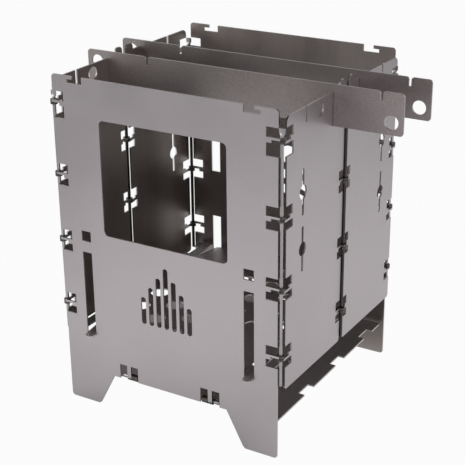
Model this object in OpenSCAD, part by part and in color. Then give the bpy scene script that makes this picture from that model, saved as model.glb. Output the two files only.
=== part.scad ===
// Folding box stove for twigs, cut from thin sheet metal.
// Two footed panels stand front and back. Each side wall is two leaves.
// Curled tongues and plain wire pins join the walls, so the empty box folds flat.
// Origin: on the ground under the middle of the whole stove, its pot bars included.
// +Z is up, -Y is the front.

/* [Box] */
// Width of the front and back panels
panel_w = 144.4; // [138:0.1:152]
// Height of the front and back panels, feet included
panel_h = 204.6; // [200:0.1:220]
// Depth between the outer faces of the front and back panels
box_depth = 144.8; // [140:0.1:150]
// Thickness of all the sheet metal
sheet_t = 1; // [0.8:0.1:1.2]
// Radius of the outer corners of every sheet
corner_r = 2; // [1:0.1:3]

/* [Feet] */
// Height of the lower edge between the feet
web_z = 22; // [18:0.5:24]
// Width of each of the front panel's feet where it meets the ground
foot_w = 21.5; // [16:0.5:26]
// The same width on the back panel
back_foot_w = 19.3; // [16:0.1:26]
// Width of each foot where it meets the lower edge
foot_top_w = 33; // [30:0.5:34]

/* [Window] */
// Width of the feeding window
window_w = 82.2; // [60:0.1:90]
// Height of the window's lower edge
window_z = 113; // [108:1:125]
// Distance of the window's upper edge below the panel's upper edge
window_drop = 22.8; // [20:0.1:50]
// Radius of the window's corners
window_r = 3; // [1:0.5:6]

/* [Vent] */
// Number of upright slots in the vent under the window, an odd number
vent_count = 7; // [3:2:7]
// Width of one vent slot
vent_slot_w = 3.2; // [2:0.1:3.4]
// Distance between the middles of two vent slots
vent_pitch = 5.2; // [4.4:0.1:5.4]
// Height of the vent's lower ends
vent_z = 63; // [58:1:70]
// Height of the middle vent slot
vent_mid_h = 38; // [28:1:42]
// How much shorter each slot is than its inner neighbour
vent_step = 7; // [3:0.5:8]

/* [Back vent] */
// Height of the lowest slot's middle in the vent of the back panel
back_vent_z = 97.4; // [94:0.1:100]
// Distance of the slots' middles to the right of the box's middle
back_vent_x = 9; // [0:0.5:12]
// Distance between the middles of the two narrow slots
back_vent_pitch = 10.3; // [8:0.1:11]
// Width of the narrow slots
back_vent_w = 6.1; // [3:0.1:6.4]
// Distance of the wide slot's middle above that of the upper narrow slot
back_vent_top_pitch = 14.5; // [13:0.1:18]
// Width of the wide slot above them
back_vent_top_w = 12.7; // [6:0.1:13]
// Length of all three slots
back_vent_len = 30; // [20:0.5:36]
// Slope of all three slots, down to the right seen from the front
back_vent_slope = 24; // [0:1:30]

/* [Side leaves] */
// Height of the leaves' lower edge
leaf_z = 43.6; // [38:0.1:46]
// Distance of the leaves' upper edge below the panels' upper edge
leaf_drop = 4.2; // [1:0.1:6]
// Radius of the leaves' upper corners beside the front and back panels
leaf_corner_r = 3.6; // [1:0.1:5]
// Width of the round-cornered ears that rise beside the middle gap
ear_w = 7.1; // [6:0.1:8]
// Height of the ears above the leaves' upper edge
ear_h = 4.2; // [2:0.1:4.2]
// Radius of the ears' corners
ear_r = 2.9; // [1:0.1:2.9]
// Gap between the edges of two joined leaves
leaf_gap = 4; // [3.8:0.1:5]
// Distance from the panel's outer face to the edge of its leaf
leaf_setback = 3.4; // [2.5:0.1:3.6]
// Distance of the slits from the box's outer face
slit_place = 22.1; // [18:0.1:30]
// Width of a slit
slit_w = 2.2; // [0.8:0.1:3]
// Length of a slit
slit_len = 26.5; // [20:0.5:30]
// Height of the lower slit's middle
slit_z = 121.2; // [116:0.1:125]
// Distance between the middles of the two slits
slit_pitch = 32.7; // [31:0.1:36]
// Diameter of the round hole in the middle of a slit
slit_hole_d = 8; // [5:0.1:9]
// Diameter of the hole between the bar slots
leaf_hole_d = 8; // [5:0.5:9]
// Distance of that hole's middle below the leaf's upper edge
leaf_hole_drop = 5.8; // [5.6:0.1:9]

/* [Hinges] */
// Diameter of the hinge pins
pin_d = 2; // [1.6:0.1:2.4]
// Gap all round between a pin and its curled tongues
pin_play = 0.1; // [0.05:0.01:0.15]
// Number of evenly spaced hinges on each upright line, the highest one not counted
hinge_count = 3; // [2:1:3]
// Height of the lowest hinge
hinge_z = 63.5; // [60:0.1:66]
// Distance between two of the evenly spaced hinges
hinge_pitch = 40.7; // [38:0.1:42]
// Distance of the highest hinge below the leaves' upper edge
top_hinge_drop = 12.5; // [10:0.1:15]
// Height of the tongue between the pockets
tongue_h = 3; // [2.6:0.1:4.5]
// Gap between the two curls that share a pin at one hinge
curl_gap = 0.2; // [0.1:0.05:0.4]
// Depth of the pockets beside the tongues at the corners
pocket_d = 7.4; // [6:0.1:8]
// Depth of the pockets beside the middle gap
middle_pocket_d = 5.2; // [4.2:0.1:6]
// Height of the pocket above a tongue
pocket_up = 5.4; // [4:0.1:6]
// Height of the pocket below a tongue
pocket_down = 4.7; // [3:0.1:5.5]
// Height of the pocket below the highest tongue
top_pocket_down = 7.3; // [3:0.1:8]
// Length of a tongue's full-height root at the corners
root_len = 3; // [2:0.1:3.2]
// Length of a tongue's full-height root beside the middle gap
middle_root_len = 1.6; // [1:0.1:2]
// Distance the middle tongues step out of the walls on their way to the pin, below zero inwards
middle_step = -0.95; // [-1:0.05:2]
// Length of each pin above the highest hinge
pin_reach_up = 6.6; // [6:0.1:6.8]
// Width of the flat that keeps each upright pin from dropping through
flat_w = 3.9; // [2.6:0.1:4.2]
// Thickness of that flat
flat_t = 0.8; // [0.5:0.1:1.2]
// Height of that flat, its widening part included
flat_h = 4.4; // [3:0.1:4.8]
// Length of each pin below the lowest hinge
pin_reach_down = 17.3; // [10:0.1:20]

/* [Floor] */
// Height of the floor hinge's pin
floor_pin_z = 23.6; // [23.4:0.1:26]
// Width of the floor plate
floor_w = 141; // [130:1:141]
// Gap between the floor plate's rear edge and the back panel
floor_rear_gap = 1.6; // [1:0.1:4]
// Depth of the notches in the sides of the floor plate
floor_notch_d = 4; // [3:0.5:6]
// Length of those notches
floor_notch_len = 12; // [10:0.5:14]
// Distance of the floor hinges' middles from the middle of the box
floor_hinge_x = 28.2; // [24:0.1:29]
// Width of the pocket round a floor hinge
floor_pocket_w = 12.8; // [11:0.1:13]
// Height of the pocket round a floor hinge
floor_pocket_h = 9.5; // [8:0.1:10]
// Width of the panel's tongue in that pocket
floor_tongue_w = 2.8; // [2:0.1:3.5]
// Width of the floor plate's curl beside it
floor_curl_w = 4; // [2.5:0.1:4.2]
// Gap between the tongue and the curl
floor_curl_gap = 0.3; // [0.2:0.05:0.6]
// Length of the floor pin past each hinge
floor_pin_reach = 4; // [2:0.5:6]
// Length of the tongues bent in under the floor's rear edge
ledge_len = 9; // [6:0.5:12]
// Diameter of the air holes in the floor plate
floor_hole_d = 8; // [5:0.5:10]
// Half width of the part of the floor plate that holds them
floor_hole_reach = 44; // [30:1:60]

/* [Grate] */
// Width of the grate
grate_w = 135; // [130:1:136]
// Gap between the grate and the front and back panels
grate_gap = 0.8; // [0.5:0.1:3]
// Distance of the grate's tabs from the middle of the box
tab_x = 54.3; // [50:0.1:56]
// Width of the slots that hold the tabs
slot_w = 6.4; // [5.5:0.1:7.5]
// Gap on each side of a tab in its slot
tab_play = 0.3; // [0.2:0.05:0.6]
// Reach of the tabs past the outer faces of the panels
tab_reach = 4.5; // [4:0.1:8]
// Angle at which the tabs slope down to their slots
tab_slope = 8; // [4:0.5:9]
// Length of the slits that free a tab from the grate's edge
tab_slit_len = 20; // [12:0.5:22]
// Width of those slits
tab_slit_w = 1; // [0.6:0.1:1.4]
// Height of the grate's lower face
grate_low = 49.6; // [48:0.1:52]
// Height of the lower slots' upper ends in the front panel
front_slot_top = 99.7; // [80:0.1:101]
// Height of the lower slots' upper ends in the back panel
back_slot_top = 72.4; // [70:0.1:100]
// Height of the square upper holes' lower ends in the front panel
upper_hole_z = 106.6; // [105:0.1:110]
// Height of the upper slots' lower ends in the back panel
upper_slot_z = 104.8; // [103:0.1:110]
// Length of the upper slots in the back panel
upper_slot_len = 45.8; // [20:0.1:50]
// Diameter of the holes in the grate
grate_hole_d = 12; // [8:0.5:13]
// Distance between the middles of two neighbouring holes
grate_hole_pitch = 21.5; // [20.5:0.1:22]
// Depth of the notches in the sides of the grate
grate_notch_d = 3.4; // [2:0.1:5]
// Distance of the outer notches' middles from the middle of the box
grate_notch_y = 56.5; // [50:0.5:58]

/* [Pot bars] */
// Length of a pot bar
bar_len = 205; // [200:0.5:210]
// Height of a pot bar
bar_h = 23.5; // [20:0.1:26]
// Distance of the bars from the middle of the box
bar_y = 16.4; // [14:0.1:20]
// Distance of the front bar's middle to the right of the box's middle
front_bar_shift = 13.8; // [5:0.1:20]
// Distance of the rear bar's middle to the right of the box's middle
rear_bar_shift = 15.8; // [5:0.1:20]
// Gap on each side of a bar in its slot
bar_play = 0.4; // [0.3:0.05:0.6]
// Diameter of the holes in the bars' ends
bar_hole_d = 8; // [5:0.5:8.5]
// Distance of those holes' middles from the bar's end
bar_hole_in = 7; // [6:0.1:9]
// Distance of those holes' middles from the nearest long edge
bar_hole_edge = 6.9; // [5.2:0.1:7]
// Distance of the right notch from the bar's right end
bar_notch_in = 13; // [12:0.5:18]
// Depth of the bars' notches
bar_notch_d = 5.2; // [3:0.1:8]
// Width of a notch below its rounded mouth
bar_notch_w = 1.4; // [1.2:0.1:2.4]
// Radius of the mouth's two shoulders
bar_notch_r = 1.6; // [0.5:0.1:2]
// Distance of the shallow spare slots from the box's outer face
spare_slot_place = 25; // [18:0.5:30]
// Depth of the shallow spare slots
spare_slot_d = 8.3; // [5:0.1:16]

/* [Top catches] */
// Distance of a catch's inner side from the middle of the box
catch_x = 51.5; // [46:0.5:54]
// Width of a catch's mouth
catch_mouth = 6.5; // [4:0.5:8]
// Width of a catch below its hook
catch_w = 10.2; // [9:0.1:12]
// Depth of a catch
catch_d = 4.2; // [3:0.1:5]
// Height of the hook over a catch
hook_h = 2; // [1.4:0.1:2.5]

/* [Hidden] */
$fn = 48;

half_w = panel_w / 2;
half_d = box_depth / 2;
leaf_top = panel_h - leaf_drop;
top_hinge_z = leaf_top - top_hinge_drop;

// A curl wraps its pin with the play between, and runs on from the sheet's own plane.
pin_r = pin_d / 2;
bore_r = pin_r + pin_play;
curl_r = bore_r + sheet_t;

// The corner pins stand inside the corners, clear of the panels' upright edges.
pin_past_panel = 0.85;
corner_pin_x = half_w + pin_past_panel;
corner_pin_y = half_d - curl_r;
leaf_outer = corner_pin_x + curl_r;
leaf_inner = leaf_outer - sheet_t;

// The middle pins stand outside the walls, so the leaves fold inwards.
middle_pin_x = leaf_outer + middle_step + bore_r;

hinges = [for (i = [0 : hinge_count]) i < hinge_count ? hinge_z + i * hinge_pitch : top_hinge_z];
pin_bottom = hinge_z - pin_reach_down;
pin_top = top_hinge_z + pin_reach_up;

// The floor plate hangs under its pin and lies level on the rear ledges.
floor_top = floor_pin_z - bore_r;
floor_low = floor_top - sheet_t;
floor_front_edge = -corner_pin_y + 0.6;
floor_rear_edge = half_d - sheet_t - floor_rear_gap;
ledge_gap = 0.1;
ledge_low = floor_low - ledge_gap - sheet_t;

// The tabs slope down from the grate and rest on the lower ends of the slots.
tab_seat = 0.1;
grate_half_d = half_d - sheet_t - grate_gap;
tab_w = slot_w - 2 * tab_play;
tab_root_y = grate_half_d - tab_slit_len;
tab_fall = (half_d - tab_root_y) * tan(tab_slope);
slot_z = grate_low + sheet_t / 2 - sheet_t / 2 / cos(tab_slope) - tab_fall - tab_seat;

bar_seat = 0.1;
bar_low = panel_h - bar_h;
bar_slot_w = sheet_t + 2 * bar_play;
wall_span = leaf_outer + leaf_inner;

// The bars reach further to the right than to the left, so the box stands left of the origin.
box_x = -(front_bar_shift + rear_bar_shift) / 2;

cut = 1;
steel = [0.62, 0.6, 0.6];
dark_steel = [0.45, 0.44, 0.44];

// Sets what is drawn about the middle of the box into the whole stove's frame
module in_frame() {
    translate([box_x, 0, 0])
        children();
}

// A rectangle with round corners, between two opposite corners
module round_box(x0, y0, x1, y1, r) {
    translate([x0 + r, y0])
        square([x1 - x0 - 2 * r, y1 - y0]);
    translate([x0, y0 + r])
        square([x1 - x0, y1 - y0 - 2 * r]);
    for (x = [x0 + r, x1 - r], y = [y0 + r, y1 - r])
        translate([x, y])
            circle(r = r);
}

// What is cut away to round the corner at [x, y]; dx and dy point into the sheet
module corner_trim(x, y, dx, dy, r) {
    translate([x, y])
        mirror([dx < 0 ? 1 : 0, 0, 0])
            mirror([0, dy < 0 ? 1 : 0, 0])
                difference() {
                    translate([-cut, -cut])
                        square(r + cut);
                    translate([r, r])
                        circle(r = r);
                }
}

// A slot that stands upright with round ends
module upright_slot(x, y0, y1, w) {
    round_box(x - w / 2, y0, x + w / 2, y1, w / 2 - 0.01);
}

// A rectangle between two corners given in any order
module span(x0, y0, x1, y1) {
    translate([min(x0, x1), min(y0, y1)])
        square([abs(x1 - x0), abs(y1 - y0)]);
}

// The pockets of one upright hinge line, cut from the edge at x; side points off the sheet.
// The root keeps the tongue's height and the other half is cut away beyond it.
module hinge_pockets(x, side, upper, depth, root) {
    inner = x - side * depth;
    step = inner + side * root;
    for (z = hinges) {
        down = z == top_hinge_z ? top_pocket_down : pocket_down;
        span(inner, z + tongue_h / 2, x + side * cut, z + tongue_h / 2 + pocket_up);
        span(inner, z - tongue_h / 2, x + side * cut, z - tongue_h / 2 - down);
        if (upper)
            span(step, z + curl_gap / 2, x + side * cut, z - tongue_h / 2 - cut);
        else
            span(step, z - curl_gap / 2, x + side * cut, z + tongue_h / 2 + cut);
    }
}

// The flat part of each corner tongue, from inside the step to the pin's own line
module hinge_tongues(x, side, pin_at, upper) {
    inner = x - side * (pocket_d - root_len + 0.5);
    for (z = hinges)
        span(inner, z + (upper ? 1 : -1) * curl_gap / 2,
             pin_at, z + (upper ? 1 : -1) * tongue_h / 2);
}

// One curl round a pin along Z; the slit is where the tongue's end stops short
module curl(z0, h, slit_at) {
    translate([0, 0, z0])
        difference() {
            cylinder(r = curl_r, h = h);
            translate([0, 0, -cut])
                cylinder(r = bore_r, h = h + 2 * cut);
            rotate([0, 0, slit_at])
                translate([0, -0.15, -cut])
                    cube([curl_r + cut, 0.3, h + 2 * cut]);
        }
}

// All the curls of one hinge line
module curls(x, y, upper, slit_at) {
    h = (tongue_h - curl_gap) / 2;
    for (z = hinges)
        translate([x, y, 0])
            curl(upper ? z + curl_gap / 2 : z - tongue_h / 2, h, slit_at);
}

// Outline of a front or back panel: feet of the given width, top catches and hinge edges
module panel_outline(foot) {
    foot_in = half_w - foot;
    foot_top = half_w - foot_top_w;
    difference() {
        translate([-half_w, 0])
            square([panel_w, panel_h]);
        polygon([[-foot_in, -cut], [-foot_in, 0], [-foot_top, web_z],
                 [foot_top, web_z], [foot_in, 0], [foot_in, -cut]]);
        for (side = [-1, 1]) {
            corner_trim(side * half_w, 0, -side, 1, corner_r);
            corner_trim(side * half_w, panel_h, -side, -1, corner_r);
            corner_trim(side * foot_in, 0, side, 1, corner_r / 2);
            span(side * catch_x, panel_h + cut, side * (catch_x + catch_mouth), panel_h - catch_d);
            span(side * catch_x, panel_h - hook_h, side * (catch_x + catch_w), panel_h - catch_d);
            hinge_pockets(side * half_w, side, true, pocket_d, root_len);
            span(side * (floor_hinge_x - floor_pocket_w / 2), web_z - cut,
                 side * (floor_hinge_x + floor_pocket_w / 2), web_z + floor_pocket_h);
        }
    }
    for (side = [-1, 1])
        hinge_tongues(side * half_w, side, side * corner_pin_x, true);
}

// A flat sheet in the XZ plane, from y to y plus its thickness
module sheet_across(y) {
    translate([0, y + sheet_t, 0])
        rotate([90, 0, 0])
            linear_extrude(sheet_t)
                children();
}

// A flat sheet in the YZ plane, from x to x plus its thickness
module sheet_along(x) {
    translate([x, 0, 0])
        rotate([90, 0, 90])
            linear_extrude(sheet_t)
                children();
}

// The upright slots for the grate's tabs and, in the front panel, the window and vent
module front_cuts() {
    half_window = window_w / 2;
    middle = (vent_count - 1) / 2;
    round_box(-half_window, window_z, half_window, panel_h - window_drop, window_r);
    for (side = [-1, 1]) {
        span(side * tab_x - slot_w / 2, slot_z, side * tab_x + slot_w / 2, front_slot_top);
        span(side * tab_x - slot_w / 2, upper_hole_z, side * tab_x + slot_w / 2, upper_hole_z + slot_w);
    }
    for (i = [-middle : middle])
        upright_slot(i * vent_pitch, vent_z, vent_z + vent_mid_h - abs(i) * vent_step, vent_slot_w);
}

// One round-ended slot that slopes down to the right, its middle at height z
module sloping_slot(z, w) {
    translate([back_vent_x, z])
        rotate(-back_vent_slope)
            round_box(-back_vent_len / 2, -w / 2, back_vent_len / 2, w / 2, w / 2 - 0.01);
}

// The upright slots and the vent in the back panel
module back_cuts() {
    sloping_slot(back_vent_z, back_vent_w);
    sloping_slot(back_vent_z + back_vent_pitch, back_vent_w);
    sloping_slot(back_vent_z + back_vent_pitch + back_vent_top_pitch, back_vent_top_w);
    for (side = [-1, 1]) {
        span(side * tab_x - slot_w / 2, slot_z, side * tab_x + slot_w / 2, back_slot_top);
        span(side * tab_x - slot_w / 2, upper_slot_z, side * tab_x + slot_w / 2,
             upper_slot_z + upper_slot_len);
    }
}

// The panel's own tongue in each floor pocket, down to the floor pin's height
module floor_tongues(low) {
    for (side = [-1, 1])
        span(side * (floor_hinge_x - floor_tongue_w / 2), low,
             side * (floor_hinge_x + floor_tongue_w / 2), web_z + floor_pocket_h + cut);
}

// A curl round the floor pin, from x0 to x1
module floor_curl(x0, x1) {
    translate([min(x0, x1), -corner_pin_y, floor_pin_z])
        rotate([0, 90, 0])
            difference() {
                cylinder(r = curl_r, h = abs(x1 - x0));
                translate([0, 0, -cut])
                    cylinder(r = bore_r, h = abs(x1 - x0) + 2 * cut);
            }
}

module front_panel() {
    color(steel) in_frame() {
        sheet_across(-half_d)
            difference() {
                union() {
                    panel_outline(foot_w);
                    floor_tongues(floor_pin_z);
                }
                front_cuts();
            }
        for (side = [-1, 1]) {
            curls(side * corner_pin_x, -corner_pin_y, true, side > 0 ? 200 : -20);
            floor_curl(side * (floor_hinge_x - floor_tongue_w / 2),
                       side * (floor_hinge_x + floor_tongue_w / 2));
        }
    }
}

module back_panel() {
    color(steel) in_frame() {
        sheet_across(half_d - sheet_t)
            difference() {
                union() {
                    panel_outline(back_foot_w);
                    floor_tongues(ledge_low);
                }
                back_cuts();
            }
        for (side = [-1, 1])
            curls(side * corner_pin_x, corner_pin_y, true, side > 0 ? 160 : 20);
    }
}

// The two tongues bent in from the back panel's lower edge, up to the panel's inner face
module floor_ledges() {
    color(steel) in_frame()
        for (side = [-1, 1])
            translate([side * floor_hinge_x - floor_tongue_w / 2, half_d - ledge_len, ledge_low])
                cube([floor_tongue_w, ledge_len - sheet_t, sheet_t]);
}

// Outline of a leaf in y and z. The front leaf runs from the corner to the middle gap.
// The rear leaf is the same sheet turned round, so its tongues take the other half.
module leaf_outline(upper_middle) {
    y0 = -half_d + leaf_setback;
    y1 = -leaf_gap / 2;
    bar_place = -bar_y;
    spare_place = -half_d + spare_slot_place;
    slit_y = -half_d + slit_place;
    difference() {
        union() {
            translate([y0, leaf_z])
                square([y1 - y0, leaf_top - leaf_z]);
            round_box(y1 - ear_w, leaf_top - 2 * ear_r, y1, leaf_top + ear_h, ear_r);
        }
        corner_trim(y0, leaf_z, 1, 1, corner_r);
        corner_trim(y0, leaf_top, 1, -1, leaf_corner_r);
        corner_trim(y1, leaf_z, -1, 1, corner_r);
        hinge_pockets(y0, -1, false, pocket_d, root_len);
        hinge_pockets(y1, 1, upper_middle, middle_pocket_d, middle_root_len);
        span(bar_place - bar_slot_w / 2, bar_low, bar_place + bar_slot_w / 2, leaf_top + cut);
        span(spare_place - bar_slot_w / 2, leaf_top - spare_slot_d,
             spare_place + bar_slot_w / 2, leaf_top + cut);
        translate([(bar_place + spare_place) / 2, leaf_top - leaf_hole_drop])
            circle(d = leaf_hole_d);
        for (z = [slit_z, slit_z + slit_pitch]) {
            upright_slot(slit_y, z - slit_len / 2, z + slit_len / 2, slit_w);
            translate([slit_y, z])
                circle(d = slit_hole_d);
        }
    }
    hinge_tongues(y0, -1, -corner_pin_y, false);
}

// The middle tongues of a leaf: each slants out of the wall to the inner side of its curl
module middle_tongues(upper) {
    y0 = -leaf_gap / 2 - middle_pocket_d + middle_root_len - 0.4;
    x0 = leaf_outer + middle_step;
    h = (tongue_h - curl_gap) / 2;
    for (z = hinges)
        translate([0, 0, upper ? z + curl_gap / 2 : z - tongue_h / 2])
            linear_extrude(h)
                polygon([[leaf_inner, y0], [leaf_outer, y0], [x0, -bore_r], [x0 - sheet_t, -bore_r]]);
}

// A whole front leaf on the right-hand wall
module leaf(upper_middle) {
    sheet_along(leaf_inner)
        leaf_outline(upper_middle);
    curls(corner_pin_x, -corner_pin_y, false, 75);
    middle_tongues(upper_middle);
    curls(middle_pin_x, 0, upper_middle, 255);
}

module right_front_leaf() {
    color(steel) in_frame()
        leaf(true);
}

module left_front_leaf() {
    color(steel) in_frame()
        mirror([1, 0, 0])
            leaf(true);
}

module right_rear_leaf() {
    color(steel) in_frame()
        mirror([0, 1, 0])
            leaf(false);
}

module left_rear_leaf() {
    color(steel) in_frame()
        mirror([1, 0, 0])
            mirror([0, 1, 0])
                leaf(false);
}

// Round holes in staggered rows, inside a plate of the given half width and half depth
module hole_field(half_x, half_y, d, pitch) {
    row_step = pitch * 0.87;
    rows = floor((half_y - d / 2 - 3) / row_step);
    for (r = [-rows : rows]) {
        shift = (abs(r) % 2) * pitch / 2;
        columns = floor((half_x - d / 2 - 3 - shift) / pitch);
        for (c = [-columns - (shift > 0 ? 1 : 0) : columns])
            translate([shift + c * pitch, r * row_step])
                circle(d = d);
    }
}

module floor_plate() {
    half_x = floor_w / 2;
    depth = floor_rear_edge - floor_front_edge;
    curl_out = floor_hinge_x - floor_tongue_w / 2 - floor_curl_gap;
    notches = [for (z = hinges) z + (pocket_up - pocket_down) / 2 - floor_pin_z - corner_pin_y];
    color(dark_steel) in_frame() {
        translate([0, 0, floor_low])
            linear_extrude(sheet_t) {
                difference() {
                    translate([-half_x, floor_front_edge])
                        square([floor_w, depth]);
                    for (side = [-1, 1]) {
                        corner_trim(side * half_x, floor_front_edge, -side, 1, corner_r);
                        corner_trim(side * half_x, floor_rear_edge, -side, -1, corner_r);
                        for (y = notches)
                            if (y + floor_notch_len < floor_rear_edge)
                                span(side * (half_x - floor_notch_d), y - floor_notch_len / 2,
                                     side * (half_x + cut), y + floor_notch_len / 2);
                        span(side * (curl_out + floor_curl_gap / 2), floor_front_edge - cut,
                             side * (floor_hinge_x + floor_tongue_w / 2 + floor_curl_gap),
                             -corner_pin_y + curl_r + 0.4);
                    }
                    translate([0, (floor_front_edge + floor_rear_edge) / 2])
                        hole_field(floor_hole_reach, depth / 2, floor_hole_d, 2.4 * floor_hole_d);
                }
                for (side = [-1, 1])
                    span(side * curl_out, -corner_pin_y,
                         side * (curl_out - floor_curl_w), floor_front_edge + cut);
            }
        for (side = [-1, 1])
            floor_curl(side * curl_out, side * (curl_out - floor_curl_w));
    }
}

// Round holes in the grate: columns side by side, every second one half a step off.
// The outermost columns stop short of the tabs' slits.
module grate_holes() {
    column_step = grate_hole_pitch * cos(30);
    for (c = [0 : 2], side_x = [-1, 1])
        for (r = [0 : c == 0 ? 2 : 1], side_y = [-1, 1])
            translate([side_x * (c + 0.5) * column_step,
                       side_y * (r + (c % 2 == 0 ? 0.5 : 0)) * grate_hole_pitch])
                circle(d = grate_hole_d);
    for (side_x = [-1, 1], side_y = [-1, 1])
        translate([side_x * 1.5 * column_step, side_y * 2 * grate_hole_pitch])
            circle(d = grate_hole_d);
}

// One tab with a round end; its middle plane turns down at the origin and runs along +Y
module sloping_tab() {
    tab_len = (half_d - tab_root_y + tab_reach) / cos(tab_slope);
    rotate([0, 90, 0])
        translate([0, 0, -tab_w / 2])
            cylinder(d = sheet_t, h = tab_w);
    rotate([-tab_slope, 0, 0])
        translate([0, 0, -sheet_t / 2])
            linear_extrude(sheet_t) {
                translate([-tab_w / 2, 0])
                    square([tab_w, tab_len - tab_w / 2]);
                translate([0, tab_len - tab_w / 2])
                    circle(d = tab_w);
            }
}

module fire_grate() {
    half_x = grate_w / 2;
    slit_out = tab_w / 2 + tab_slit_w;
    color(dark_steel) in_frame() {
        translate([0, 0, grate_low])
            linear_extrude(sheet_t)
                difference() {
                    translate([-half_x, -grate_half_d])
                        square([grate_w, 2 * grate_half_d]);
                    for (side = [-1, 1], end = [-1, 1]) {
                        corner_trim(side * half_x, end * grate_half_d, -side, -end, corner_r);
                        span(side * tab_x - slit_out, end * tab_root_y,
                             side * tab_x + slit_out, end * (grate_half_d + cut));
                        for (y = [grate_notch_y, grate_notch_y / 3])
                            span(side * (half_x - grate_notch_d), end * y - floor_notch_len / 2,
                                 side * (half_x + cut), end * y + floor_notch_len / 2);
                    }
                    grate_holes();
                }
        for (side = [-1, 1], end = [0, 1])
            mirror([0, end, 0])
                translate([side * tab_x, tab_root_y, grate_low + sheet_t / 2])
                    sloping_tab();
    }
}

// A pot bar with its right notch near one end; the second notch is one wall span away
module pot_bar(shift, y) {
    x0 = shift - bar_len / 2;
    x1 = shift + bar_len / 2;
    low = bar_low + bar_seat;
    notch_right = x1 - bar_notch_in;
    color(dark_steel) in_frame()
        sheet_across(y - sheet_t / 2)
            difference() {
                translate([x0, low])
                    square([bar_len, panel_h - low]);
                for (x = [[x0, 1], [x1, -1]]) {
                    corner_trim(x[0], low, x[1], 1, corner_r);
                    corner_trim(x[0], panel_h, x[1], -1, corner_r);
                }
                for (x = [notch_right, notch_right - wall_span]) {
                    span(x - bar_notch_w / 2, panel_h - bar_notch_d,
                         x + bar_notch_w / 2, panel_h + cut);
                    for (side = [-1, 1])
                        corner_trim(x + side * bar_notch_w / 2, panel_h, side, -1, bar_notch_r);
                }
                translate([x0 + bar_hole_in, panel_h - bar_hole_edge])
                    circle(d = bar_hole_d);
                translate([x1 - bar_hole_in, low + bar_hole_edge])
                    circle(d = bar_hole_d);
            }
}

module front_pot_bar() {
    pot_bar(front_bar_shift, -bar_y);
}

module rear_pot_bar() {
    pot_bar(rear_bar_shift, bar_y);
}

// A plain wire pin with small chamfers at its ends
module pin(len) {
    chamfer = pin_r * 0.3;
    rotate_extrude()
        polygon([[0, 0], [pin_r - chamfer, 0], [pin_r, chamfer],
                 [pin_r, len - chamfer], [pin_r - chamfer, len], [0, len]]);
}

// An upright pin; its top is pressed into a flat that widens upwards and lies across the angle
module upright_pin(x, y, flat_turn) {
    flat_low = pin_top - flat_h;
    flat_wide = flat_low + flat_h / 2;
    round = flat_w / 6;
    color(steel) in_frame() {
        translate([x, y, pin_bottom])
            pin(flat_low + pin_r - pin_bottom);
        translate([x, y, 0])
            rotate([90, 0, flat_turn])
                translate([0, 0, -flat_t / 2])
                    linear_extrude(flat_t)
                        polygon([[-pin_r * 0.9, flat_low], [pin_r * 0.9, flat_low],
                                 [flat_w / 2, flat_wide], [flat_w / 2, pin_top - round],
                                 [flat_w / 2 - round, pin_top], [round - flat_w / 2, pin_top],
                                 [-flat_w / 2, pin_top - round], [-flat_w / 2, flat_wide]]);
    }
}

module front_left_pin() {
    upright_pin(-corner_pin_x, -corner_pin_y, 0);
}

module front_right_pin() {
    upright_pin(corner_pin_x, -corner_pin_y, 0);
}

module back_left_pin() {
    upright_pin(-corner_pin_x, corner_pin_y, 0);
}

module back_right_pin() {
    upright_pin(corner_pin_x, corner_pin_y, 0);
}

module left_middle_pin() {
    upright_pin(-middle_pin_x, 0, 90);
}

module right_middle_pin() {
    upright_pin(middle_pin_x, 0, 90);
}

module floor_pin() {
    half_len = floor_hinge_x + floor_tongue_w / 2 + floor_pin_reach;
    color(steel) in_frame()
        translate([-half_len, -corner_pin_y, floor_pin_z])
            rotate([0, 90, 0])
                pin(2 * half_len);
}

front_panel();
back_panel();
floor_ledges();
left_front_leaf();
left_rear_leaf();
right_front_leaf();
right_rear_leaf();
floor_plate();
fire_grate();
front_pot_bar();
rear_pot_bar();
front_left_pin();
front_right_pin();
back_left_pin();
back_right_pin();
left_middle_pin();
right_middle_pin();
floor_pin();
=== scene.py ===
import math

import bmesh
import bpy
import numpy as np
from mathutils import Matrix, Vector


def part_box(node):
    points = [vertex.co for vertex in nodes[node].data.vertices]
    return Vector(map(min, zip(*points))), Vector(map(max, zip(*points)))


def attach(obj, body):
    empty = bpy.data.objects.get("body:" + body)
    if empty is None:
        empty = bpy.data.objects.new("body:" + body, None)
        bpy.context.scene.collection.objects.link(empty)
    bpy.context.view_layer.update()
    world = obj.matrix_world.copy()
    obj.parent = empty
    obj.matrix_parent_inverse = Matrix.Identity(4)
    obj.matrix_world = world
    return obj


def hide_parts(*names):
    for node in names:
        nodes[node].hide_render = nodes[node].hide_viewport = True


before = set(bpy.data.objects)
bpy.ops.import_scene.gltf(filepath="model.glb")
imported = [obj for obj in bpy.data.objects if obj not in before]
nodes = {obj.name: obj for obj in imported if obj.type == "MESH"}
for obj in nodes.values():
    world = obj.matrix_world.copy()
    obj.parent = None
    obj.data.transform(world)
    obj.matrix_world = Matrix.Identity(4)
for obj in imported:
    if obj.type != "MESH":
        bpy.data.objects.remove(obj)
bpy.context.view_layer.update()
bpy.context.scene.view_settings.view_transform = "Standard"
print("stage: frame loaded,", len(nodes), "parts")


# small helpers for node trees
def put(tree, kind, settings=None, feeds=None):  # settings are the node's own, feeds go to its sockets
    made = tree.nodes.new(kind)
    for label, value in (settings or {}).items():
        setattr(made, label, value)
    for label, value in (feeds or {}).items():
        if isinstance(value, bpy.types.NodeSocket):
            tree.links.new(value, made.inputs[label])
        else:
            made.inputs[label].default_value = value
    return made


def found(tree, kind):  # the node of this kind that Blender made with the tree
    return next(node for node in tree.nodes if node.type == kind)


def calc(tree, operation, first, second=0.0):
    return put(tree, "ShaderNodeMath", {"operation": operation}, {0: first, 1: second}).outputs[0]


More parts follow.
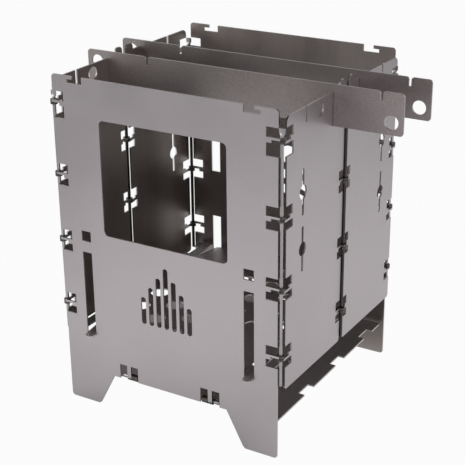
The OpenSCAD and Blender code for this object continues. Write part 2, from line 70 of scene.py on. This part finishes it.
def largest(tree, values):
    result = values[0]
    for value in values[1:]:
        result = calc(tree, "MAXIMUM", result, value)
    return result


def spread(tree, value, low, high, newLow=0.0, newHigh=1.0):  # maps low..high to newLow..newHigh, clamped
    feeds = {"Value": value, "From Min": low, "From Max": high, "To Min": newLow, "To Max": newHigh}
    return put(tree, "ShaderNodeMapRange", None, feeds).outputs["Result"]


def stretch(tree, vector, factors):  # a place stretched or squeezed along each axis
    feeds = {0: vector, 1: factors}
    return put(tree, "ShaderNodeVectorMath", {"operation": "MULTIPLY"}, feeds).outputs[0]


def noise(tree, vector, scale, feeds):
    return put(tree, "ShaderNodeTexNoise", None, {"Vector": vector, "Scale": scale, **feeds}).outputs[0]


def blend2(tree, share, first, second):  # a colour between two colours
    return put(tree, "ShaderNodeMix", {"data_type": "RGBA"}, {0: share, 6: first, 7: second}).outputs[2]


def groupTree(name, inputs, outputs):
    tree = bpy.data.node_groups.new(name, "ShaderNodeTree")
    for label, kind, value in inputs:
        made = tree.interface.new_socket(label, in_out="INPUT", socket_type=kind)
        if value is not None:
            made.default_value = value
    for label, kind in outputs:
        tree.interface.new_socket(label, in_out="OUTPUT", socket_type=kind)
    return tree, tree.nodes.new("NodeGroupInput"), tree.nodes.new("NodeGroupOutput")


# effects that several finishes share
grainMix = {  # fine pits and a broader noise under them; fleck is the span of the pits that shows light
    "fineDetail": 2.0, "fineShare": 0.7, "broadScale": 0.27, "broadDetail": 1.0, "broadShare": 0.5,
    "fleck": (0.35, 0.65),
}
cloudMix = {  # wide patches of tone, and smaller smudges that are twisted and broken up
    "cloudDetail": 3.0, "cloudBreak": 0.55, "cloud": (0.3, 0.7),
    "smudgeScale": 3.1, "smudgeDetail": 5.0, "smudgeBreak": 0.6, "smudgeTwist": 0.8, "smudge": (0.56, 0.74),
}
lineMix = {"lineDetail": 2.0}


def blastedGrainGroup():  # fine pits of blasting: two sizes of noise laid over each other
    tree, given, result = groupTree(
        "blastedGrain",
        [("Vector", "NodeSocketVector", None), ("Grain Size", "NodeSocketFloat", 0.0004)],
        [("Height", "NodeSocketFloat"), ("Fleck", "NodeSocketFloat")])
    vector = given.outputs["Vector"]
    scale = calc(tree, "DIVIDE", 1.0, given.outputs["Grain Size"])
    broadScale = calc(tree, "MULTIPLY", scale, grainMix["broadScale"])
    fine = noise(tree, vector, scale, {"Detail": grainMix["fineDetail"]})
    broad = noise(tree, vector, broadScale, {"Detail": grainMix["broadDetail"]})
    height = calc(tree, "ADD", calc(tree, "MULTIPLY", fine, grainMix["fineShare"]),
                  calc(tree, "MULTIPLY", broad, grainMix["broadShare"]))
    tree.links.new(height, result.inputs["Height"])
    tree.links.new(spread(tree, fine, *grainMix["fleck"]), result.inputs["Fleck"])
    return tree


def sheetCloudGroup():  # soft wide patches of tone and faint handling smudges
    tree, given, result = groupTree(
        "sheetCloud",
        [("Vector", "NodeSocketVector", None), ("Patch Size", "NodeSocketFloat", 0.06)],
        [("Cloud", "NodeSocketFloat"), ("Smudge", "NodeSocketFloat")])
    vector = given.outputs["Vector"]
    scale = calc(tree, "DIVIDE", 1.0, given.outputs["Patch Size"])
    cloud = noise(tree, vector, scale, {"Detail": cloudMix["cloudDetail"], "Roughness": cloudMix["cloudBreak"]})
    smudgeScale = calc(tree, "MULTIPLY", scale, cloudMix["smudgeScale"])
    smudge = noise(tree, vector, smudgeScale, {
        "Detail": cloudMix["smudgeDetail"], "Roughness": cloudMix["smudgeBreak"],
        "Distortion": cloudMix["smudgeTwist"]})
    tree.links.new(spread(tree, cloud, *cloudMix["cloud"]), result.inputs["Cloud"])
    tree.links.new(spread(tree, smudge, *cloudMix["smudge"]), result.inputs["Smudge"])
    return tree


def finelyDrawnGroup():  # long fine lines: noise whose places are squeezed along the lines
    tree, given, result = groupTree(
        "finelyDrawn",
        [("Vector", "NodeSocketVector", None), ("Squeeze", "NodeSocketVector", (1.0, 1.0, 0.02)),
         ("Line Size", "NodeSocketFloat", 0.0003)],
        [("Height", "NodeSocketFloat")])
    squeezed = stretch(tree, given.outputs["Vector"], given.outputs["Squeeze"])
    scale = calc(tree, "DIVIDE", 1.0, given.outputs["Line Size"])
    lines = noise(tree, squeezed, scale, {"Detail": lineMix["lineDetail"]})
    tree.links.new(lines, result.inputs["Height"])
    return tree


blastedGrain = blastedGrainGroup()
sheetCloud = sheetCloudGroup()
finelyDrawn = finelyDrawnGroup()


def useGroup(tree, group, feeds):
    return put(tree, "ShaderNodeGroup", {"node_tree": group}, feeds)


def newMaterial(name):
    made = bpy.data.materials.new(name)
    made.use_nodes = True
    tree = made.node_tree
    place = tree.nodes.new("ShaderNodeTexCoord").outputs["Object"]
    return made, tree, found(tree, "BSDF_PRINCIPLED"), place


def finishMetal(tree, shader, tone, rough, height, depth):  # colour, gloss and fine relief of bare metal
    tree.links.new(tone, shader.inputs["Base Color"])
    tree.links.new(rough, shader.inputs["Roughness"])
    shader.inputs["Metallic"].default_value = 1.0
    relief = put(tree, "ShaderNodeBump", None, {"Height": height, "Distance": depth, "Strength": 1.0})
    tree.links.new(relief.outputs[0], shader.inputs["Normal"])


def sheetMetal(name, look):  # blasted face: grain and faint rolling lines, soft patches, light flecks
    made, tree, shader, place = newMaterial(name)
    grain = useGroup(tree, blastedGrain, {"Vector": place, "Grain Size": look["grainSize"]})
    patches = stretch(tree, place, look["patchStretch"])
    cloud = useGroup(tree, sheetCloud, {"Vector": patches, "Patch Size": look["patchSize"]})
    rolled = useGroup(tree, finelyDrawn, {
        "Vector": place, "Squeeze": look["rolledAlong"], "Line Size": look["rolledSize"]})
    tone = blend2(tree, cloud.outputs["Cloud"], look["darkTone"], look["lightTone"])
    flecked = calc(tree, "MULTIPLY", grain.outputs["Fleck"], look["fleckShare"])
    tone = blend2(tree, flecked, tone, look["fleckTone"])
    rough = calc(tree, "ADD", spread(tree, cloud.outputs["Cloud"], 0, 1, look["roughLow"], look["roughHigh"]),
                 calc(tree, "MULTIPLY", cloud.outputs["Smudge"], look["smudgeRough"]))
    height = calc(tree, "ADD", grain.outputs["Height"],
                  calc(tree, "MULTIPLY", rolled.outputs["Height"], look["rolledShare"]))
    finishMetal(tree, shader, tone, rough, height, look["grainDepth"])
    return made


def highlightedCutEdge(name, look):  # finely pitted edge left by the cutting beam; its bright tone is a painted highlight
    made, tree, shader, place = newMaterial(name)
    grain = useGroup(tree, blastedGrain, {"Vector": place, "Grain Size": look["grainSize"]})
    tone = blend2(tree, grain.outputs["Fleck"], look["darkTone"], look["lightTone"])
    rough = spread(tree, grain.outputs["Fleck"], 0, 1, look["roughLow"], look["roughHigh"])
    finishMetal(tree, shader, tone, rough, grain.outputs["Height"], look["grainDepth"])
    return made


def drawnWire(name, look):  # wire with fine lines along it
    made, tree, shader, place = newMaterial(name)
    lines = useGroup(tree, finelyDrawn, {
        "Vector": place, "Squeeze": look["drawnAlong"], "Line Size": look["drawnSize"]})
    cloud = useGroup(tree, sheetCloud, {"Vector": place, "Patch Size": look["patchSize"]})
    tone = blend2(tree, cloud.outputs["Cloud"], look["darkTone"], look["lightTone"])
    if "shadeEnds" in look:  # the painted shade thins out between two heights, below the pin's pressed tip
        height = put(tree, "ShaderNodeSeparateXYZ", None, {0: place}).outputs["Z"]
        tone = blend2(tree, spread(tree, height, *look["shadeEnds"]), tone, look["tipTone"])
    rough = spread(tree, lines.outputs["Height"], *look["lineSpan"], look["roughLow"], look["roughHigh"])
    finishMetal(tree, shader, tone, rough, lines.outputs["Height"], look["drawnDepth"])
    return made


wallLook = {
    "darkTone": (0.455, 0.418, 0.432, 1), "lightTone": (0.52, 0.48, 0.496, 1),
    "fleckTone": (0.62, 0.578, 0.594, 1), "fleckShare": 0.4,
    "roughLow": 0.36, "roughHigh": 0.43, "smudgeRough": 0.03,
    "grainSize": 0.00045, "grainDepth": 0.00003, "patchSize": 0.07, "patchStretch": (1.0, 1.0, 1.0),
    "rolledAlong": (1.0, 1.0, 0.03), "rolledSize": 0.0011, "rolledShare": 0.35,
}
# inside the box the metal is painted a little darker and warmer as painted shade, with soft upright streaks of
# painted reflection
innerShadeLook = dict(wallLook, darkTone=(0.31, 0.272, 0.258, 1), lightTone=(0.47, 0.418, 0.4, 1),
                 fleckTone=(0.56, 0.51, 0.49, 1), patchSize=0.03, patchStretch=(1.0, 1.0, 0.12))
# the grate and floor plate are painted lighter than the walls: painted light, as on sheets lit from the open
# top
litFireLook = dict(wallLook, darkTone=(0.54, 0.51, 0.498, 1), lightTone=(0.61, 0.58, 0.565, 1),
                roughLow=0.46, roughHigh=0.54, rolledAlong=(1.0, 0.03, 1.0))
# the pot bars are painted darker and warmer than the walls: a painted reflection of the dark box beneath them
shadedBarLook = dict(wallLook, darkTone=(0.335, 0.29, 0.282, 1), lightTone=(0.39, 0.34, 0.332, 1),
               rolledAlong=(0.03, 1.0, 1.0))
# tongues rolled round the pins are painted near black: a painted dark reflection, with small light flecks
rolledShadeLook = dict(wallLook, darkTone=(0.055, 0.05, 0.047, 1), lightTone=(0.15, 0.138, 0.132, 1),
                  fleckTone=(0.5, 0.475, 0.46, 1), fleckShare=0.12, roughLow=0.24, roughHigh=0.34,
                  grainDepth=0.00005, patchSize=0.003, rolledAlong=(1.0, 1.0, 0.2))
# cut edges are painted lighter than the faces: a painted highlight
edgeHighlightLook = {
    "darkTone": (0.56, 0.525, 0.525, 1), "lightTone": (0.74, 0.7, 0.7, 1),
    "roughLow": 0.34, "roughHigh": 0.46, "grainSize": 0.0003, "grainDepth": 0.00002,
}
wireLook = {
    "darkTone": (0.44, 0.415, 0.42, 1), "lightTone": (0.54, 0.515, 0.52, 1), "patchSize": 0.02,
    "roughLow": 0.26, "roughHigh": 0.4, "lineSpan": (0.3, 0.7),
    "drawnAlong": (1.0, 1.0, 0.02), "drawnSize": 0.0003, "drawnDepth": 0.00004,
}
# the middle pins and the back left one are painted dark as painted shade, up to just under their tips
paintedShadeWireLook = dict(wireLook, darkTone=(0.05, 0.046, 0.044, 1), lightTone=(0.09, 0.083, 0.08, 1),
                  tipTone=(0.36, 0.342, 0.346, 1), shadeEnds=(0.1885, 0.1905))
wallFace = sheetMetal("blastedWallFace", wallLook)
innerShadeFace = sheetMetal("blastedInnerFacePaintedShade", innerShadeLook)
rolledTongueShade = sheetMetal("rolledTonguePaintedShade", rolledShadeLook)
litFireFace = sheetMetal("blastedFireFacePaintedLight", litFireLook)
shadedBarFace = sheetMetal("blastedBarFacePaintedShade", shadedBarLook)
paintedHighlightEdge = highlightedCutEdge("cutSheetEdgeHighlight", edgeHighlightLook)
uprightWire = drawnWire("drawnUprightWire", wireLook)
lyingWire = drawnWire("drawnLyingWire", dict(wireLook, drawnAlong=(0.02, 1.0, 1.0)))
paintedShadeWireFinish = drawnWire("paintedShadeMiddleWire", paintedShadeWireLook)
print("stage: finishes made")


# what sheets and pins have in common
def smoothShade(mesh, sharpFrom):  # smooth all over, apart from edges that turn by more than this many degrees
    mesh.polygons.foreach_set("use_smooth", np.ones(len(mesh.polygons), bool))
    mesh.set_sharp_from_angle(angle=math.radians(sharpFrom))


def newObject(name, mesh):
    made = bpy.data.objects.new(name, mesh)
    bpy.context.scene.collection.objects.link(made)
    return made


# sheet pieces: the part's own outline, its edges eased, cut edges told from rolled faces
boxMiddle = -0.0148  # x of the box's own middle; the bars reach further to the right
curls = {
    "cornerX": 0.07305, "cornerY": 0.0703, "middleX": 0.0753,  # upright pins, from the box's own middle
    "reach": 0.0032, "above": 0.05,  # a face nearer to a pin than reach, and higher than above, is rolled and gets the painted dark of the rolled tongues
    "floorPinY": -0.0703, "floorPinZ": 0.0236, "floorReach": 0.0022,  # the same for the lying pin
}
sheetWork = {
    "weld": 0.000002, "flatWithin": 0.5,  # points closer than weld become one, faces this flat are joined
    "facing": 0.7, "sharpFrom": 30, "easeFrom": 40, "easeSteps": 2, "easing": 0.00012,
}
cornerPins = [[boxMiddle + sideX * curls["cornerX"], sideY * curls["cornerY"]]
              for sideX in (-1, 1) for sideY in (-1, 1)]
middlePins = [[boxMiddle + sideX * curls["middleX"], 0.0] for sideX in (-1, 1)]
pinPlaces = np.array(cornerPins + middlePins)
floorPinPlace = np.array([curls["floorPinY"], curls["floorPinZ"]])


def mergedCopy(name, nodeName):
    mesh = nodes[nodeName].data.copy()
    mesh.name = name
    mesh.materials.clear()
    work = bmesh.new()
    work.from_mesh(mesh)
    bmesh.ops.remove_doubles(work, verts=work.verts, dist=sheetWork["weld"])
    bmesh.ops.dissolve_limit(work, angle_limit=math.radians(sheetWork["flatWithin"]),
                             verts=work.verts, edges=work.edges)
    work.to_mesh(mesh)
    work.free()
    for old in list(mesh.attributes):
        if old.name.startswith("custom_normal"):
            mesh.attributes.remove(old)
    return mesh


# kinds: 0 a face of the sheet, 1 a cut edge square to the sheet's own normal (painted highlight), 2 a tongue
# rolled round a pin (painted dark),
# 3 a face of a wall that looks into the box (painted shade)
def faceKinds(mesh, flatAxis):
    count = len(mesh.polygons)
    normal, centre = np.zeros(count * 3), np.zeros(count * 3)
    mesh.polygons.foreach_get("normal", normal)
    mesh.polygons.foreach_get("center", centre)
    normal, centre = normal.reshape(-1, 3), centre.reshape(-1, 3)
    kinds = (np.abs(normal[:, flatAxis]) < sheetWork["facing"]).astype(np.int32)
    fromMiddle = centre - np.array([boxMiddle, 0, 0])
    if flatAxis < 2:  # a wall: its normal against the way out of the box
        kinds[(normal * np.sign(fromMiddle))[:, flatAxis] < -sheetWork["facing"]] = 3
    toPins = np.linalg.norm(centre[:, None, :2] - pinPlaces[None], axis=2).min(axis=1)
    kinds[(toPins < curls["reach"]) & (centre[:, 2] > curls["above"])] = 2
    kinds[np.linalg.norm(centre[:, 1:] - floorPinPlace, axis=1) < curls["floorReach"]] = 2
    return kinds


def dressSheet(nodeName, body, values):
    mesh = mergedCopy(values["piece"], nodeName)
    for finish in (values["face"], paintedHighlightEdge, rolledTongueShade, values.get("inner", values["face"])):
        mesh.materials.append(finish)
    mesh.polygons.foreach_set("material_index", faceKinds(mesh, values["flatAxis"]))
    smoothShade(mesh, sheetWork["sharpFrom"])
    piece = newObject(values["piece"], mesh)
    eased = piece.modifiers.new("easedEdges", "BEVEL")
    eased.width = sheetWork["easing"]
    eased.segments = sheetWork["easeSteps"]
    eased.limit_method = "ANGLE"
    eased.angle_limit = math.radians(sheetWork["easeFrom"])
    eased.harden_normals = True
    eased.use_clamp_overlap = False
    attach(piece, body)
    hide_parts(nodeName)


acrossWall = {"face": wallFace, "inner": innerShadeFace, "slot": "wall_sheet", "flatAxis": 1}  # front and back
alongWall = dict(acrossWall, flatAxis=0)  # the leaves
lyingSheet = {"face": litFireFace, "slot": "fire_sheet", "flatAxis": 2}
lyingLedge = {"face": wallFace, "slot": "wall_sheet", "flatAxis": 2}
barSheet = {"face": shadedBarFace, "slot": "bar_sheet", "flatAxis": 1}
sheets = [
    ("front_panel", "front", dict(acrossWall, piece="frontPanelSheet")),
    ("back_panel", "back", dict(acrossWall, piece="backPanelSheet")),
    ("floor_ledges", "back", dict(lyingLedge, piece="rearFloorLedges")),
    ("left_front_leaf", "left_front", dict(alongWall, piece="leftFrontLeafSheet")),
    ("left_rear_leaf", "left_rear", dict(alongWall, piece="leftRearLeafSheet")),
    ("right_front_leaf", "right_front", dict(alongWall, piece="rightFrontLeafSheet")),
    ("right_rear_leaf", "right_rear", dict(alongWall, piece="rightRearLeafSheet")),
    ("floor_plate", "floor", dict(lyingSheet, piece="ashFloorSheet")),
    ("fire_grate", "grate", dict(lyingSheet, piece="fireGrateSheet")),
    ("front_pot_bar", "front_bar", dict(barSheet, piece="frontPotBarSheet")),
    ("rear_pot_bar", "rear_bar", dict(barSheet, piece="rearPotBarSheet")),
]
for nodeName, body, values in sheets:
    dressSheet(nodeName, body, values)
print("stage: sheets dressed")


# wire pins: a grid of places along the pin by turns round it. Each ring is an oval: the wide half-width times
# the cosine of the turn, the thin half-width times its sine; in the round wire both are the radius
def wirePin(nodeName, body, values):
    low, high = (np.array(corner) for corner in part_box(nodeName))
    along = values["along"]
    size = high - low
    wide, thin = [axis for axis in np.argsort(-size) if axis != along]  # the pressed end is widest along wide
    radius = size[thin] / 2
    # rounded ends: going in, the ring's depth is the ease times one minus the cosine, and its narrowing the
    # ease times one minus the sine
    ease = np.linspace(0, math.pi / 2, values["endSteps"])
    endDepth = values["endEase"] * (1 - np.cos(ease))
    endNarrow = 1 - np.sin(ease)
    pressed = np.linspace(0, 1, values["pressedSteps"]) if values["pressedHeight"] else np.zeros(1)
    pressedFrom = size[along] - values["pressedHeight"]
    places = np.concatenate([[0.0], endDepth, pressedFrom + pressed * values["pressedHeight"] / 2,
                             size[along] - endDepth[::-1], [size[along]]])
    # share of pressing 0..1 over the pressed end's lower half, eased at both ends: 3 t squared - 2 t cubed
    pressing = np.clip((places - pressedFrom) / max(values["pressedHeight"] / 2, 1e-6), 0, 1)
    pressing = 3 * pressing ** 2 - 2 * pressing ** 3 if values["pressedHeight"] else pressing * 0
    halfWide = radius + (size[wide] / 2 - radius) * pressing
    halfThin = radius + (values["pressedThick"] / 2 - radius) * pressing
    narrowing = np.concatenate([[1.0], endNarrow, np.zeros(len(pressed)), endNarrow[::-1], [1.0]])
    halfWide = np.maximum(halfWide - values["endEase"] * narrowing, 0)
    halfThin = np.maximum(halfThin - values["endEase"] * narrowing, 0)
    halfWide[[0, -1]] *= values["capShare"]
    halfThin[[0, -1]] *= values["capShare"]
    sides = values["sides"]
    turn = np.linspace(0, 2 * math.pi, sides, endpoint=False)
    ring = np.zeros((len(places), sides, 3))
    ring[:, :, wide] = halfWide[:, None] * np.cos(turn)[None]
    ring[:, :, thin] = halfThin[:, None] * np.sin(turn)[None]
    ring[:, :, along] = places[:, None]
    foot = (low + high) / 2
    foot[along] = low[along]
    points = ring.reshape(-1, 3) + foot
    rows, columns = np.meshgrid(np.arange(len(places) - 1), np.arange(sides), indexing="ij")
    here = rows * sides + columns
    right = rows * sides + (columns + 1) % sides
    quads = np.stack([here, right, right + sides, here + sides], axis=-1).reshape(-1, 4)
    caps = [list(range(sides))[::-1], list(range(len(points) - sides, len(points)))]
    mesh = bpy.data.meshes.new(values["piece"])
    mesh.from_pydata(points.tolist(), [], quads.tolist() + caps)
    work = bmesh.new()
    work.from_mesh(mesh)
    bmesh.ops.recalc_face_normals(work, faces=work.faces)
    work.to_mesh(mesh)
    work.free()
    smoothShade(mesh, values["sharpFrom"])
    mesh.materials.append(values["finish"])
    piece = newObject(values["piece"], mesh)
    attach(piece, body)
    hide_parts(nodeName)


uprightPin = {
    "along": 2, "sides": 32, "endSteps": 5, "endEase": 0.0003, "capShare": 0.02, "sharpFrom": 50,
    "finish": uprightWire, "pressedHeight": 0.0044, "pressedThick": 0.0008, "pressedSteps": 9,
}
pinInPaintedShade = dict(uprightPin, finish=paintedShadeWireFinish)
lyingPin = dict(uprightPin, along=0, finish=lyingWire, pressedHeight=0.0)
pins = [
    ("front_left_pin", "front", dict(uprightPin, piece="frontLeftWirePin")),
    ("front_right_pin", "front", dict(uprightPin, piece="frontRightWirePin")),
    ("back_left_pin", "back", dict(pinInPaintedShade, piece="backLeftWirePin")),
    ("back_right_pin", "back", dict(uprightPin, piece="backRightWirePin")),
    ("left_middle_pin", "left_front", dict(pinInPaintedShade, piece="leftMiddleWirePin")),
    ("right_middle_pin", "right_front", dict(pinInPaintedShade, piece="rightMiddleWirePin")),
    ("floor_pin", "front", dict(lyingPin, piece="floorWirePin")),
]
for nodeName, body, values in pins:
    wirePin(nodeName, body, values)
print("stage: wire pins made")


# the studio: pale floor, white surroundings, soft lamps, camera
studio = {
    "floorSize": 6.0, "floorTone": (0.8, 0.8, 0.8, 1), "floorRough": 0.9, "whiteShare": 0.96,
    # how bright metal shows the floor: share at each bright place, farShare away from both
    "brightPlaces": [{"at": (-0.1, -0.28, 0), "near": 0.07, "far": 0.34, "share": 0.97},
                     {"at": (0.2, 0.2, 0), "near": 0.0, "far": 0.9, "share": 0.82}],
    "farShare": 0.1, "shadeFrom": 0.065, "shadeTo": 0.11, "shadeShare": 0.05,
    "daylight": (0.62, 0.62, 0.63, 1), "horizonInMetal": (0.78, 0.78, 0.78, 1),
    "skyFrom": 0.2, "skyTo": 0.7, "overheadShare": 0.06,  # heights, as the sine, between which the sky dims
    "lamps": [
        {"name": "leftLamp", "place": (-1.5, -1.0, 0.7), "aim": (0, 0, 0.1), "size": 0.9, "power": 7.0},
        {"name": "rightLamp", "place": (1.6, -0.4, 0.6), "aim": (0, 0, 0.1), "size": 0.9, "power": 6.0},
    ],
}
white, black = (1, 1, 1, 1), (0, 0, 0, 1)


def raysOfKind(tree, *kinds):  # 1 for rays of any of the named kinds
    path = tree.nodes.new("ShaderNodeLightPath")
    return largest(tree, [path.outputs["Is " + kind + " Ray"] for kind in kinds])


def away(tree, place, spot):  # distance from a spot
    feeds = {0: place, 1: spot}
    return put(tree, "ShaderNodeVectorMath", {"operation": "DISTANCE"}, feeds).outputs["Value"]


def buildFloor():
    half = studio["floorSize"] / 2
    mesh = bpy.data.meshes.new("studioFloor")
    corners = [(-half, -half, 0), (half, -half, 0), (half, half, 0), (-half, half, 0)]
    mesh.from_pydata(corners, [], [(0, 1, 2, 3)])
    floor = newObject("studioFloor", mesh)
    made, tree, shader, place = newMaterial("paleFloor")
    shader.inputs["Base Color"].default_value = studio["floorTone"]
    shader.inputs["Roughness"].default_value = studio["floorRough"]
    glow = put(tree, "ShaderNodeEmission", None, {"Color": white, "Strength": 1.0})
    # metal shows the floor brightest at the bright places: the share falls with the distance from each of them,
    # and the larger share holds
    shares = [spread(tree, away(tree, place, spot["at"]), spot["near"], spot["far"],
                     spot["share"], studio["farShare"]) for spot in studio["brightPlaces"]]
    # right under the stove the floor lies in its shade
    shade = spread(tree, away(tree, place, (boxMiddle, 0, 0)), studio["shadeFrom"], studio["shadeTo"],
                   studio["shadeShare"], 1.0)
    shown = calc(tree, "MULTIPLY", largest(tree, shares), shade)
    inMetal = calc(tree, "MULTIPLY", raysOfKind(tree, "Glossy"), shown)
    direct = calc(tree, "MULTIPLY", raysOfKind(tree, "Camera", "Transmission"), studio["whiteShare"])
    glowing = calc(tree, "MAXIMUM", direct, inMetal)
    mix = put(tree, "ShaderNodeMixShader", None, {0: glowing, 1: shader.outputs[0], 2: glow.outputs[0]})
    tree.links.new(mix.outputs[0], found(tree, "OUTPUT_MATERIAL").inputs["Surface"])
    mesh.materials.append(made)


def buildSurroundings():
    world = bpy.data.worlds.new("paleStudio")
    world.use_nodes = True
    tree = world.node_tree
    sky = found(tree, "BACKGROUND")
    # the sky darkens from the horizon to overhead; what the camera sees directly stays white
    outward = tree.nodes.new("ShaderNodeTexCoord").outputs["Generated"]
    height = put(tree, "ShaderNodeSeparateXYZ", None, {0: outward}).outputs["Z"]
    dimming = spread(tree, height, studio["skyFrom"], studio["skyTo"], 0.0, 1.0 - studio["overheadShare"])
    low = blend2(tree, raysOfKind(tree, "Glossy"), studio["daylight"], studio["horizonInMetal"])
    dimmed = blend2(tree, dimming, low, black)
    seen = blend2(tree, raysOfKind(tree, "Camera", "Transmission"), dimmed, white)
    tree.links.new(seen, sky.inputs["Color"])
    sky.inputs["Strength"].default_value = 1.0
    bpy.context.scene.world = world


def buildLamps():
    for lamp in studio["lamps"]:
        light = bpy.data.lights.new(lamp["name"], "AREA")
        light.shape = "DISK"
        light.size = lamp["size"]
        light.energy = lamp["power"]
        holder = newObject(lamp["name"], light)
        holder.location = lamp["place"]
        toward = Vector(lamp["aim"]) - Vector(lamp["place"])
        holder.rotation_euler = toward.to_track_quat("-Z", "Y").to_euler()


photoView = {
    "place": (0.334359, -0.579520, 0.378698), "right": (0.85917694, 0.51159363, -0.00932464),
    "ahead": (-0.47543358, 0.79144745, -0.38415342),
    "lens": 93.1048, "sensor": 36, "nearest": 0.05, "farthest": 20,
}


def buildCamera():
    lens = bpy.data.cameras.new("photoCamera")
    lens.sensor_width = photoView["sensor"]
    lens.lens = photoView["lens"]
    lens.clip_start, lens.clip_end = photoView["nearest"], photoView["farthest"]
    camera = newObject("photoCamera", lens)
    right, ahead = Vector(photoView["right"]).normalized(), Vector(photoView["ahead"]).normalized()
    up = right.cross(ahead)
    turn = Matrix((right, up, -ahead)).transposed()
    camera.matrix_world = Matrix.Translation(photoView["place"]) @ turn.to_4x4()
    bpy.context.scene.camera = camera


buildFloor()
buildSurroundings()
buildLamps()
buildCamera()
print("stage: studio ready")
